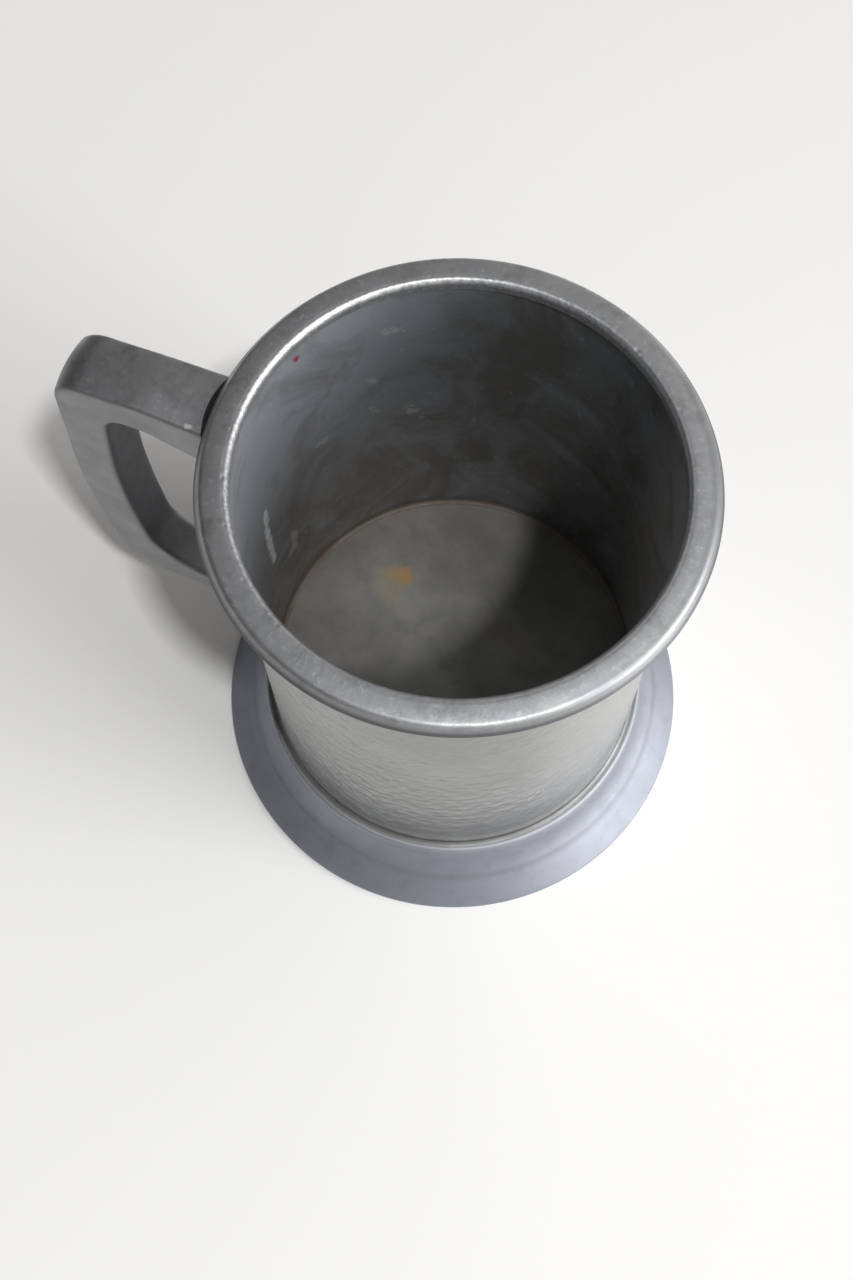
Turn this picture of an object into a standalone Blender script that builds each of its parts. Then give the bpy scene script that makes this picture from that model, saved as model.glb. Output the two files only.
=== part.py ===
"""Pewter mug: a hammered drum in a flared foot, with an applied rim and a cast handle.

The mug stands on z = 0 and its handle points to -X. The origin lies at the middle of the
bounding box's underside, so the drum's own axis stands a little towards +X of it.
Every piece is one closed solid. Pieces that are soldered together keep SEAT_GAP between them.
"""
import math

import bpy
import bmesh
from mathutils import Matrix, Vector

# Overall sizes, in metres
MUG_HEIGHT = 0.1217          # table to the crown of the rim
SEAT_GAP = 0.0003            # gap between two pieces that touch

# Drum: the rolled and hammered wall
DRUM_TOP_RADIUS = 0.0443     # outside, under the rim
DRUM_FOOT_RADIUS = 0.0449    # outside, in the foot's socket
WALL = 0.0013
MARK_PITCH = 0.0066          # distance between two hammer marks
MARK_DEPTH = 0.00019         # how far the middle of a mark lies below the drum's round
PLAIN_BAND = 0.0030          # unhammered band over the foot

# Floor: the disc that closes the drum
FLOOR_RISE = 0.0205          # table to the seat of the disc
FLOOR_THICKNESS = 0.0018
FLOOR_DISH = 0.0004          # how far the middle of the disc lies below its edge
FLOOR_SEAT_WIDTH = 0.0050    # level border of the disc, over the foot's collar

# Rim: the ring on the drum's upper edge
RIM_OVERHANG = 0.0054        # beyond the drum's outside
RIM_THICKNESS = 0.0028       # drum's edge to the crown
RIM_LIP = 0.0004             # how far the rim's bore stands inside the drum's bore
RIM_SKIRT = 0.0015           # length of the skirt that holds the drum's edge
RIM_SKIRT_WALL = 0.0009
RIM_EDGE_DROP = 0.0029       # crown to the thin lower edge of the overhang
RIM_EDGE_LAND = 0.0004       # height of that thin edge
RIM_ROUND = 0.0018           # width of the outer rounding
LAND_DROP = 0.0004           # how much the nearly level land falls to the rounding
BEVEL_WIDTH = 0.0015         # worn bevel round the mouth
BEVEL_DEPTH = 0.0010

# Foot: the flared ring under the drum
FOOT_HEIGHT = 0.0166         # table to the top of the bead
FOOT_SPREAD = 0.0126         # beyond the drum's outside
SOCKET_DEPTH = 0.0026        # how deep the drum stands in the foot
LEDGE_WIDTH = 0.0036         # how far the ledge reaches in under the drum
LEDGE_THICKNESS = 0.0022
LIP_FLAT = 0.0006            # level top of the lip, between the drum and the bead
BEAD_RADIUS = 0.0008
FLARE_START = 0.0017         # socket to the upper end of the upper flare
FLARE_DROP = 0.0021          # top of the bead down to that end
FLARE_HOLLOW = 0.0004        # how far the upper flare curves in
CREASE_SPREAD = 0.0063       # drum's outside to the crease between the two flares
CREASE_HEIGHT = 0.0076
CREASE_DEPTH = 0.0003        # the turned line in the crease
FOOT_WALL = 0.0019
BASE_EDGE = 0.0012           # height of the foot's upright edge
BASE_CHAMFER = 0.0004
TREAD_WIDTH = 0.0042         # flat ring that the mug stands on

# Handle: a cast strap with a square shoulder
HANDLE_REACH = 0.0430        # drum's top radius to the outside of the grip
SHOULDER_SET_IN = 0.0046     # how much less the shoulder reaches than the grip's middle
HEEL_SET_IN = 0.0028
ARM_DROP = 0.0012            # rim's skirt to the top of the arm
ARM_RISE = 0.0010            # how much the arm's back rises to its brow
NOTCH_REACH = 0.0069         # drum to the end of the notch that clears the rim
NOTCH_DEPTH = 0.0030         # top of the arm to the notch's bottom
NOTCH_SLOPE = 0.0008         # how much the notch's end leans
ROOT_FLARE = 0.0012          # how much wider the arm is at the drum than at its brow
BROW_DISTANCE = 0.0190       # drum to the brow of the arm
ARM_ROOT_DEPTH = 0.0156      # top of the arm to its underside, at the drum
ARM_DEPTH = 0.0101           # arm at its brow
SHOULDER_DEPTH = 0.0084      # arm at the shoulder
GRIP_DEPTH = 0.0093          # strap at the grip's middle
GRIP_END_DEPTH = 0.0099      # strap at the grip's upper and lower end
TAIL_DEPTH = 0.0062
TAIL_RISE = 0.0108           # foot's bead to the underside of the tail
OUTER_SHOULDER_RADIUS = 0.0076
INNER_SHOULDER_RADIUS = 0.0066
OUTER_HEEL_RADIUS = 0.0150
INNER_HEEL_RADIUS = 0.0138
BROW_RADIUS = 0.0400
INNER_BROW_RADIUS = 0.0180
GRIP_BOW_RADIUS = 0.1900
ARM_WIDTH = 0.0137
TAIL_WIDTH = 0.0112
HANDLE_EDGE_RADIUS = 0.0015
HANDLE_CROWN = 0.0006        # how far the strap's back swells across its width

# Solder fillets
FLOOR_SOLDER = 0.0013
FOOT_SOLDER = 0.0007
HANDLE_SOLDER = 0.0007

# Steps of the round shapes
TURN_STEPS = 72
ARC_STEPS = 5
EDGE_STEPS = 3
ACROSS_STEPS = 4
DISH_STEPS = 2

# Places that follow from the sizes
RIM_SEAT = MUG_HEIGHT - RIM_THICKNESS
SKIRT_BOTTOM = RIM_SEAT - RIM_SKIRT
DRUM_TOP = RIM_SEAT - SEAT_GAP
LEDGE_TOP = FOOT_HEIGHT - SOCKET_DEPTH
DRUM_BOTTOM = LEDGE_TOP + SEAT_GAP
FLOOR_BOTTOM = FLOOR_RISE + SEAT_GAP
FLOOR_TOP = FLOOR_BOTTOM + FLOOR_THICKNESS
ARM_TOP = SKIRT_BOTTOM - ARM_DROP
TAIL_BOTTOM = FOOT_HEIGHT + TAIL_RISE
GRIP_RADIUS = DRUM_TOP_RADIUS + HANDLE_REACH
FOOT_RADIUS = DRUM_FOOT_RADIUS + FOOT_SPREAD


def drum_radius(z):
    """Outside radius of the drum, which narrows evenly to its top."""
    share = (z - DRUM_BOTTOM) / (DRUM_TOP - DRUM_BOTTOM)
    return DRUM_FOOT_RADIUS + (DRUM_TOP_RADIUS - DRUM_FOOT_RADIUS) * share


def arc(centre, radii, start, end):
    """Points of an elliptic arc in a section, from start to end degrees."""
    points = []
    for i in range(ARC_STEPS + 1):
        angle = math.radians(start + (end - start) * i / ARC_STEPS)
        points.append((centre[0] + radii[0] * math.cos(angle), centre[1] + radii[1] * math.sin(angle)))
    return points


def fillet_path(corners, radii):
    """A path from the first corner to the last, rounded by one radius at each corner between."""
    path = [Vector(corners[0])]
    for before, here, after, radius in zip(corners, corners[1:], corners[2:], radii):
        corner = Vector(here)
        back = (Vector(before) - corner).normalized()
        ahead = (Vector(after) - corner).normalized()
        half = back.angle(ahead) / 2
        middle = corner + (back + ahead).normalized() * radius / math.sin(half)
        spoke = corner + back * radius / math.tan(half) - middle
        turn = spoke.angle_signed(corner + ahead * radius / math.tan(half) - middle)
        path += [middle + Matrix.Rotation(-turn * i / ARC_STEPS, 2) @ spoke for i in range(ARC_STEPS + 1)]
    path.append(Vector(corners[-1]))
    return path


def new_material(name, colour, roughness):
    material = bpy.data.materials.new(name)
    material.use_nodes = True
    shader = material.node_tree.nodes["Principled BSDF"]
    shader.inputs["Base Color"].default_value = (*colour, 1)
    shader.inputs["Metallic"].default_value = 1.0
    shader.inputs["Roughness"].default_value = roughness
    material.diffuse_color = (*colour, 1)
    return material


def add_object(name, bm, material, sharp_angle=35):
    """Turn a bmesh into an object that stands on the drum's axis."""
    bmesh.ops.recalc_face_normals(bm, faces=bm.faces)
    mesh = bpy.data.meshes.new(name)
    bm.to_mesh(mesh)
    bm.free()
    mesh.materials.append(material)
    mesh.shade_smooth()
    mesh.set_sharp_from_angle(angle=math.radians(sharp_angle))
    piece = bpy.data.objects.new(name, mesh)
    bpy.context.scene.collection.objects.link(piece)
    piece.parent = mug_axis
    return piece


def turned(name, section, material, steps=TURN_STEPS):
    """Spin a section of (radius, height) points round the drum's axis.

    A section that starts and ends on the axis makes a disc, any other is closed into a ring.
    """
    bm = bmesh.new()
    corners = [bm.verts.new((r, 0, z)) for r, z in section]
    edges = [bm.edges.new(pair) for pair in zip(corners, corners[1:])]
    if section[0][0] > 0:
        edges.append(bm.edges.new((corners[-1], corners[0])))
    bmesh.ops.spin(bm, geom=corners + edges, cent=(0, 0, 0), axis=(0, 0, 1),
                   angle=2 * math.pi, steps=steps, use_merge=True)
    bmesh.ops.remove_doubles(bm, verts=bm.verts, dist=1e-6)
    return add_object(name, bm, material)


def bridge_rings(bm, first, second):
    """Quads between two closed rings of equally many vertices."""
    for i in range(len(first)):
        bm.faces.new((first[i - 1], first[i], second[i], second[i - 1]))


def hammer_depth(column, row):
    """Depth of the mark at a place of the staggered grid, or 0 on the ridges between marks."""
    if (column - row // 2 - row) % 3:
        return 0.0
    return MARK_DEPTH * (1 + 0.35 * math.sin(2.3 * column + 1.7 * row))


def build_drum():
    """The wall: staggered courses of six-sided hammer marks outside, a plain bore inside."""
    low = FOOT_HEIGHT + PLAIN_BAND
    high = SKIRT_BOTTOM
    round_length = 2 * math.pi * drum_radius((low + high) / 2)
    columns = 3 * round(round_length * math.sqrt(3) / MARK_PITCH / 3)
    rows = round((high - low) / (round_length / columns * math.sqrt(3) / 2))
    bm = bmesh.new()

    def ring(z, inset, turn, depths):
        verts = []
        for column in range(columns):
            angle = 2 * math.pi * (column + turn) / columns
            radius = drum_radius(z) - inset - depths[column]
            verts.append(bm.verts.new((radius * math.cos(angle), radius * math.sin(angle), z)))
        return verts

    plain = [0.0] * columns
    bottom_outer = ring(DRUM_BOTTOM, 0, 0, plain)
    course = ring(low, 0, 0, plain)
    bridge_rings(bm, bottom_outer, course)
    for row in range(1, rows + 1):
        turned_half = row % 2
        depths = [hammer_depth(column, row) for column in range(columns)] if row < rows else plain
        upper = ring(low + (high - low) * row / rows, 0, turned_half / 2, depths)
        for i in range(columns):
            if turned_half:
                bm.faces.new((course[i - 1], course[i], upper[i - 1]))
                bm.faces.new((course[i], upper[i], upper[i - 1]))
            else:
                bm.faces.new((course[i - 1], course[i], upper[i]))
                bm.faces.new((course[i - 1], upper[i], upper[i - 1]))
        course = upper
    top_outer = ring(DRUM_TOP, 0, turned_half / 2, plain)
    top_inner = ring(DRUM_TOP, WALL, turned_half / 2, plain)
    bottom_inner = ring(DRUM_BOTTOM, WALL, 0, plain)
    bridge_rings(bm, course, top_outer)
    bridge_rings(bm, top_outer, top_inner)
    for i in range(columns):
        bm.faces.new((bottom_inner[i - 1], bottom_inner[i], top_inner[i - 1]))
        bm.faces.new((bottom_inner[i], top_inner[i], top_inner[i - 1]))
    bridge_rings(bm, bottom_inner, bottom_outer)
    print("drum:", columns, "columns,", rows, "courses")
    return add_object("drum_wall", bm, pewter_hammered)


def build_floor():
    """The disc: a level border on the foot's collar and a shallow dish in the middle."""
    edge = drum_radius(FLOOR_TOP) - WALL - SEAT_GAP
    dish = edge - FLOOR_SEAT_WIDTH
    section = []
    for i in range(DISH_STEPS + 1):
        share = i / DISH_STEPS
        section.append((dish * share, FLOOR_TOP - FLOOR_DISH * (1 - share ** 2)))
    section += [(edge - FLOOR_DISH, FLOOR_TOP), (edge, FLOOR_TOP - FLOOR_DISH), (edge, FLOOR_BOTTOM)]
    section += [(dish, FLOOR_BOTTOM), (dish / 2, FLOOR_BOTTOM - FLOOR_DISH), (0, FLOOR_BOTTOM - FLOOR_DISH)]
    return turned("floor_disc", section, pewter_floor)


def build_rim():
    """The rim: a bevelled mouth, a nearly level land and a rounded edge that overhangs the drum."""
    bore = drum_radius(DRUM_TOP) - WALL - RIM_LIP
    skirt = drum_radius(SKIRT_BOTTOM) + SEAT_GAP
    outside = DRUM_TOP_RADIUS + RIM_OVERHANG
    edge = MUG_HEIGHT - RIM_EDGE_DROP
    round_height = RIM_EDGE_DROP - RIM_EDGE_LAND - LAND_DROP
    throat = skirt + RIM_SKIRT_WALL
    section = [(bore, RIM_SEAT), (bore, MUG_HEIGHT - BEVEL_DEPTH), (bore + BEVEL_WIDTH, MUG_HEIGHT)]
    section += arc((outside - RIM_ROUND, edge + RIM_EDGE_LAND), (RIM_ROUND, round_height), 90, 0)
    section += [(outside - RIM_EDGE_LAND, edge), (throat + RIM_SKIRT_WALL, edge)]
    section += [(throat, edge - RIM_SKIRT_WALL), (throat, SKIRT_BOTTOM)]
    section += [(skirt, SKIRT_BOTTOM), (skirt, RIM_SEAT)]
    return turned("rim_band", section, pewter_rim)


def build_foot():
    """The foot: bead, two flares, and inside a slot for the drum with a collar under the floor."""
    socket = DRUM_FOOT_RADIUS + SEAT_GAP
    lip = socket + LIP_FLAT
    section = [(socket, FOOT_HEIGHT)]
    section += arc((lip, FOOT_HEIGHT - BEAD_RADIUS), (BEAD_RADIUS, BEAD_RADIUS), 90, -45)
    start = (socket + FLARE_START, FOOT_HEIGHT - FLARE_DROP)
    crease = DRUM_FOOT_RADIUS + CREASE_SPREAD
    for i in range(ARC_STEPS + 1):
        share = i / ARC_STEPS
        hollow = FLARE_HOLLOW * 4 * share * (1 - share)
        radius = start[0] + (crease - start[0]) * share - hollow
        section.append((radius, start[1] + (CREASE_HEIGHT - start[1]) * share - hollow))
    section.append((crease - CREASE_DEPTH / 2, CREASE_HEIGHT - 2 * CREASE_DEPTH))
    section.append((crease + CREASE_DEPTH, CREASE_HEIGHT - 2 * CREASE_DEPTH))
    tread = FOOT_RADIUS - BASE_CHAMFER
    section += [(FOOT_RADIUS, BASE_EDGE), (FOOT_RADIUS, BASE_CHAMFER), (tread, 0)]
    section += [(tread - TREAD_WIDTH, 0), (crease - FOOT_WALL, CREASE_HEIGHT - FOOT_WALL)]
    ledge_bottom = LEDGE_TOP - LEDGE_THICKNESS
    ledge = DRUM_FOOT_RADIUS - LEDGE_WIDTH
    collar = drum_radius(FLOOR_RISE) - WALL - SEAT_GAP
    section += [(socket, ledge_bottom), (ledge, ledge_bottom), (ledge, FLOOR_RISE), (collar, FLOOR_RISE)]
    section += [(collar, LEDGE_TOP), (socket, LEDGE_TOP)]
    return turned("foot_ring", section, pewter_foot)


def solder_ring(name, corner, along_wall, along_floor):
    """A fillet ring in the corner between an upright wall and a level face."""
    radius, z = corner
    return turned(name, [(radius, z), (radius + along_floor, z), (radius, z + along_wall)], solder)


def handle_width(reach, z):
    """Width of the strap at a place: even taper from arm to tail, and a flare at the arm's root."""
    width = TAIL_WIDTH + (ARM_WIDTH - TAIL_WIDTH) * (z - TAIL_BOTTOM) / (ARM_TOP - TAIL_BOTTOM)
    nearness = 1 - (reach - DRUM_TOP_RADIUS) / BROW_DISTANCE
    if z > (ARM_TOP + TAIL_BOTTOM) / 2 and nearness > 0:
        width += ROOT_FLARE * min(1, nearness)
    return width


def strap_section(outer, inner, grow=0.0):
    """Points round the strap between an outer and an inner point of its side view.

    The section is a rectangle with rounded corners. grow makes it wider and deeper on every side.
    """
    down = (inner - outer).normalized()
    start, end = outer - down * grow, inner + down * grow
    radius = HANDLE_EDGE_RADIUS + grow
    points = []
    for face, turn in ((start, 0), (end, 2)):
        inward = down if turn == 0 else -down
        row = []
        for side in (-1, 1):
            for i in range(EDGE_STEPS + 1):
                angle = math.radians(90 * i / EDGE_STEPS)
                if side == 1:
                    angle = math.radians(90) - angle
                place = face + inward * radius * (1 - math.sin(angle))
                half = handle_width(*place) / 2 + grow
                row.append((place, side * (half - radius + radius * math.cos(angle))))
            if side == -1:
                corner, y = row[-1]
                crown = HANDLE_CROWN if turn == 0 else 0
                for i in range(1, ACROSS_STEPS):
                    across = 2 * i / ACROSS_STEPS - 1
                    row.append((corner - inward * crown * (1 - across ** 2), -y * across))
        points += row if turn == 0 else reversed(row)
    return points


def strap_ring(bm, points, lift=None):
    """Vertices of a section. With lift, they lie that far outside the drum's round."""
    verts = []
    for place, y in points:
        reach = place[0]
        if lift is not None:
            reach = math.sqrt((drum_radius(place[1]) + lift) ** 2 - y ** 2)
        verts.append(bm.verts.new((-reach, y, place[1])))
    return verts


def point_at(path, reach):
    """The point with this reach on the line through the first two points of a side-view path."""
    share = (reach - path[0][0]) / (path[1][0] - path[0][0])
    return path[0].lerp(path[1], share)


def handle_outlines():
    """The strap's outer and inner side-view paths, as (reach from the axis, height)."""
    root = DRUM_TOP_RADIUS - WALL
    brow = drum_radius(ARM_TOP) + BROW_DISTANCE
    shoulder = GRIP_RADIUS - SHOULDER_SET_IN
    heel = GRIP_RADIUS - HEEL_SET_IN
    grip_middle = (ARM_TOP + TAIL_BOTTOM) / 2
    tail_top = TAIL_BOTTOM + TAIL_DEPTH
    outer = fillet_path(
        [(root, ARM_TOP), (brow, ARM_TOP + ARM_RISE), (shoulder, ARM_TOP), (GRIP_RADIUS, grip_middle),
         (heel, TAIL_BOTTOM), (root, TAIL_BOTTOM)],
        [BROW_RADIUS, OUTER_SHOULDER_RADIUS, GRIP_BOW_RADIUS, OUTER_HEEL_RADIUS])
    inner = fillet_path(
        [(root, ARM_TOP - ARM_ROOT_DEPTH), (brow, ARM_TOP + ARM_RISE - ARM_DEPTH),
         (shoulder - GRIP_END_DEPTH, ARM_TOP - SHOULDER_DEPTH), (GRIP_RADIUS - GRIP_DEPTH, grip_middle),
         (heel - GRIP_END_DEPTH, tail_top), (root, tail_top)],
        [INNER_BROW_RADIUS, INNER_SHOULDER_RADIUS, GRIP_BOW_RADIUS, INNER_HEEL_RADIUS])
    notch_end = DRUM_TOP_RADIUS + NOTCH_REACH
    notch_start = notch_end - NOTCH_SLOPE
    notch_bottom = ARM_TOP - NOTCH_DEPTH
    notch = [Vector((root, notch_bottom)), Vector((notch_start, notch_bottom)), point_at(outer, notch_end)]
    under_notch = [inner[0], point_at(inner, notch_start), point_at(inner, notch_end)]
    return notch + outer[1:], under_notch + inner[1:]


def build_handle(outer, inner):
    """The cast strap, coped to the drum at both ends."""
    bm = bmesh.new()
    rings = [strap_ring(bm, strap_section(o, i)) for o, i in zip(outer, inner)]
    for first, second in zip(rings, rings[1:]):
        bridge_rings(bm, first, second)
    bm.faces.new(rings[0])
    bm.faces.new(rings[-1])
    handle = add_object("handle", bm, pewter_handle)
    low = TAIL_BOTTOM - TAIL_RISE / 2
    high = ARM_TOP + ARM_DROP
    section = [(0, high), (drum_radius(high) + SEAT_GAP, high), (drum_radius(low) + SEAT_GAP, low), (0, low)]
    cutter = turned("handle_cope_cutter", section, pewter_handle, 2 * TURN_STEPS)
    cutter.hide_render = True
    cutter.display_type = "WIRE"
    cope = handle.modifiers.new("cope", "BOOLEAN")
    cope.operation = "DIFFERENCE"
    cope.solver = "EXACT"
    cope.object = cutter
    return handle


def build_handle_solder(name, outer, inner):
    """A fillet of solder round one end of the strap. outer and inner are two points each."""
    reach = drum_radius(outer[0][1]) + SEAT_GAP

    def section_at(distance, grow):
        return strap_section(point_at(outer, distance), point_at(inner, distance), grow=grow)

    bm = bmesh.new()
    corner = strap_ring(bm, section_at(reach, SEAT_GAP), SEAT_GAP)
    on_drum = strap_ring(bm, section_at(reach, SEAT_GAP + HANDLE_SOLDER), SEAT_GAP)
    on_strap = strap_ring(bm, section_at(reach + HANDLE_SOLDER, SEAT_GAP), SEAT_GAP + HANDLE_SOLDER)
    bridge_rings(bm, corner, on_drum)
    bridge_rings(bm, on_drum, on_strap)
    bridge_rings(bm, on_strap, corner)
    return add_object(name, bm, solder)


for old in list(bpy.data.objects):
    bpy.data.objects.remove(old)

outer_path, inner_path = handle_outlines()
handle_end = max(point[0] for point in outer_path) + HANDLE_CROWN

mug_axis = bpy.data.objects.new("mug_axis", None)
bpy.context.scene.collection.objects.link(mug_axis)
mug_axis.location.x = (handle_end - FOOT_RADIUS) / 2

pewter_hammered = new_material("pewter_hammered", (0.30, 0.30, 0.29), 0.42)
pewter_floor = new_material("pewter_floor", (0.24, 0.23, 0.21), 0.55)
pewter_rim = new_material("pewter_rim", (0.34, 0.36, 0.38), 0.38)
pewter_foot = new_material("pewter_foot", (0.30, 0.33, 0.37), 0.40)
pewter_handle = new_material("pewter_handle", (0.27, 0.28, 0.29), 0.42)
solder = new_material("solder", (0.42, 0.41, 0.39), 0.45)

build_drum()
build_floor()
build_rim()
build_foot()
build_handle(outer_path, inner_path)

floor_corner = drum_radius(FLOOR_TOP) - WALL - SEAT_GAP
solder_ring("floor_solder", (floor_corner, FLOOR_TOP + SEAT_GAP), FLOOR_SOLDER, -FLOOR_SOLDER)
foot_corner = drum_radius(FOOT_HEIGHT) + SEAT_GAP
solder_ring("foot_solder", (foot_corner, FOOT_HEIGHT + SEAT_GAP), FOOT_SOLDER, FOOT_SOLDER)
build_handle_solder("handle_solder_upper", outer_path[:2], inner_path[:2])
build_handle_solder("handle_solder_lower", outer_path[:-3:-1], inner_path[:-3:-1])
print("drum axis at x =", round(mug_axis.location.x, 5))
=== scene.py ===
# %% [markdown]
# # A hammered pewter mug, piece by piece
#
# The mug is built from a rolled and hammered wall, a floor disc, a turned foot, an applied rim and a
# cast handle, held together with solder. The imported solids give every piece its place. This lesson
# makes a finer mesh for each piece, with its hammer marks, worn edges and turned lines, and gives
# each one a pewter finish. Nothing is moved or resized: each fine piece stands where its solid is.

# %% Open the frame
import math
import random

import bmesh
import bpy
from mathutils import Matrix, Vector, kdtree


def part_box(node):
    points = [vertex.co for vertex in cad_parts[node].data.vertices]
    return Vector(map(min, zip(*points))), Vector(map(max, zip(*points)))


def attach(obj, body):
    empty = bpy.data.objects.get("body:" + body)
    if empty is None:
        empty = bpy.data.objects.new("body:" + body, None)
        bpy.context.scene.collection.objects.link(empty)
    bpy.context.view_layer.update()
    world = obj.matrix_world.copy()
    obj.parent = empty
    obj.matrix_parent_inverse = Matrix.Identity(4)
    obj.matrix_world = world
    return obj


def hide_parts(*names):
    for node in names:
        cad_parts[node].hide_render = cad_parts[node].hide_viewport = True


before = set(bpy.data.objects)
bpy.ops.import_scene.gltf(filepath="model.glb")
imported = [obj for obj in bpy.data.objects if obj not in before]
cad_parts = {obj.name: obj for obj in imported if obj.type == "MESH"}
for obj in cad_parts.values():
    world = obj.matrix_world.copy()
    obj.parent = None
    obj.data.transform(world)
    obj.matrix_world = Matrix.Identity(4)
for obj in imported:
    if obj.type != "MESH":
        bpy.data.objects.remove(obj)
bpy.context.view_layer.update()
print("pieces in the frame:", ", ".join(sorted(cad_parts)))

# %% [markdown]
# All sizes are in metres. What the frame can tell is read from the boxes of its nodes: the drum's
# axis, the rim's and the foot's outside, the heights. What a box can't tell, such as the thickness
# of the wall, is a named value here.

# %% Read the main sizes
rim_low, rim_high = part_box("rim_band")
foot_low, foot_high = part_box("foot_ring")
drum_low, drum_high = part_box("drum_wall")
floor_low, floor_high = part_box("floor_disc")
handle_low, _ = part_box("handle")

AXIS_X = (rim_low.x + rim_high.x) / 2
MUG_TOP = rim_high.z
RIM_RADIUS = (rim_high.x - rim_low.x) / 2
FOOT_RADIUS = (foot_high.x - foot_low.x) / 2
DRUM_FOOT_RADIUS = (drum_high.x - drum_low.x) / 2
DRUM_TOP_RADIUS = 0.0443
DRUM_BOTTOM = drum_low.z
DRUM_TOP = drum_high.z
WALL = 0.0013
SEAT_GAP = 0.0003
FLOOR_TOP = floor_high.z
FOOT_TOP = 0.0166
BORE_TEST_RADIUS = 0.04395              # between the wall's inside and its outside


def drum_radius(z):
    """Outside radius of the drum at a height."""
    share = (z - DRUM_BOTTOM) / (DRUM_TOP - DRUM_BOTTOM)
    return DRUM_FOOT_RADIUS + (DRUM_TOP_RADIUS - DRUM_FOOT_RADIUS) * share


print("axis at x = %.2f mm, rim radius %.1f mm, foot radius %.1f mm"
      % (AXIS_X * 1000, RIM_RADIUS * 1000, FOOT_RADIUS * 1000))
print("the handle reaches out to x = %.1f mm" % (handle_low.x * 1000))

# %% [markdown]
# The camera looks down into the mug from the front, a little to the right. It stands close, so the
# rim looks much wider than the foot. A camera looks along its own -Z, so it is tilted up from straight
# down, turned to its heading, and rolled a little about its own view.

# %% Place the camera
CAMERA_PLACE = (0.0561, -0.1177, 0.3689)
CAMERA_TILT = math.radians(20.52)       # away from straight down
CAMERA_HEADING = math.radians(22.29)
CAMERA_ROLL = math.radians(-1.11)
CAMERA_LENS = 41.85                     # millimetres, for a 36 mm sensor along the frame's height

camera = bpy.data.objects.new("camera", bpy.data.cameras.new("camera"))
bpy.context.scene.collection.objects.link(camera)
bpy.context.scene.camera = camera
camera.data.sensor_width = 36
camera.data.lens = CAMERA_LENS
camera.data.clip_start = 0.01
camera.matrix_world = (Matrix.Translation(CAMERA_PLACE) @ Matrix.Rotation(CAMERA_HEADING, 4, "Z")
                       @ Matrix.Rotation(CAMERA_TILT, 4, "X") @ Matrix.Rotation(CAMERA_ROLL, 4, "Z"))
print("camera stands %.0f mm above the table" % (CAMERA_PLACE[2] * 1000))

# %% [markdown]
# The materials and the room's light are built from shader nodes. A few helpers keep that short: one
# adds a node, and the others add the ones that are used most.

# %% Helpers for shader nodes
def feed(tree, socket, value):
    """Give a socket its value: a link if the value is itself a socket, and else as it is."""
    if isinstance(value, bpy.types.NodeSocket):
        tree.links.new(value, socket)
    else:
        socket.default_value = value


def add_node(tree, kind, inputs=None, **settings):
    """A shader node with its settings, and with plain values or links for some of its inputs."""
    node = tree.nodes.new(kind)
    for name, value in settings.items():
        setattr(node, name, value)
    for name, value in (inputs or {}).items():
        feed(tree, node.inputs[name], value)
    return node


def math_of(tree, operation, first, second=0.0):
    """A Math node on two values or sockets."""
    return add_node(tree, "ShaderNodeMath", {0: first, 1: second}, operation=operation).outputs[0]


def product_of(tree, first, second):
    """The scalar product of two directions."""
    return add_node(tree, "ShaderNodeVectorMath", {0: first, 1: second},
                    operation="DOT_PRODUCT").outputs["Value"]


def spread(tree, value, low, high, to_low=0.0, to_high=1.0):
    """Map a value from one range to another, and hold it there."""
    node = add_node(tree, "ShaderNodeMapRange", {"Value": value, "From Min": low, "From Max": high,
                                                 "To Min": to_low, "To Max": to_high})
    return node.outputs["Result"]


def blend_colour(tree, factor, first, second):
    """Mix two colours. Each may be a colour or a socket."""
    node = add_node(tree, "ShaderNodeMix", {"Factor": factor}, data_type="RGBA")
    for socket, value in ((node.inputs[6], first), (node.inputs[7], second)):
        feed(tree, socket, (*value, 1) if isinstance(value, tuple) else value)
    return node.outputs[2]


def noise_of(tree, coordinates, size, detail, roughness, distortion=0.0):
    """Noise whose patches are about as wide as size, in metres."""
    node = add_node(tree, "ShaderNodeTexNoise", {"Vector": coordinates, "Scale": 0.5 / size,
                                                 "Detail": detail, "Roughness": roughness,
                                                 "Distortion": distortion})
    return node.outputs["Fac"]


print("shader helpers are ready")

# %% [markdown]
# The mug stands on a plain white table. A wide window lamp, low on the right, gives most of the light:
# it draws the soft shadow on the table and the brightness under the brim. A small key lamp, high at
# the front right, draws the curved shadow inside the mug. The rest of the room is dim, and darkest on
# the handle's side. Pewter shows little colour of its own, so what it mirrors matters as much as how
# strongly it is lit.

# %% Set the table and the lamps
FLOOR_SIZE = 6.0
FLOOR_COLOUR = (0.90, 0.898, 0.89)
ROOM_LIGHT = 0.43                       # strength of the room's own light, level with the mug
ROOM_DARKEST = 0.08                     # and the least that any side of the room has
ROOM_SLOPE = (0.466, 0.144, -0.235)     # it grows towards the window and falls towards the ceiling
ROOM_COLOUR = (1.0, 0.975, 0.945)


def aim_lamp(name, azimuth, elevation, distance, size, power):
    """A square area lamp that looks at the middle of the mug. Angles are in degrees."""
    lamp = bpy.data.objects.new(name, bpy.data.lights.new(name, "AREA"))
    bpy.context.scene.collection.objects.link(lamp)
    target = Vector((AXIS_X, 0, MUG_TOP / 2))
    turn, rise = math.radians(azimuth), math.radians(elevation)
    way = Vector((math.cos(turn) * math.cos(rise), math.sin(turn) * math.cos(rise), math.sin(rise)))
    lamp.location = target + way * distance
    lamp.rotation_euler = way.to_track_quat("Z", "Y").to_euler()
    lamp.data.size = size
    lamp.data.energy = power


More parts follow.
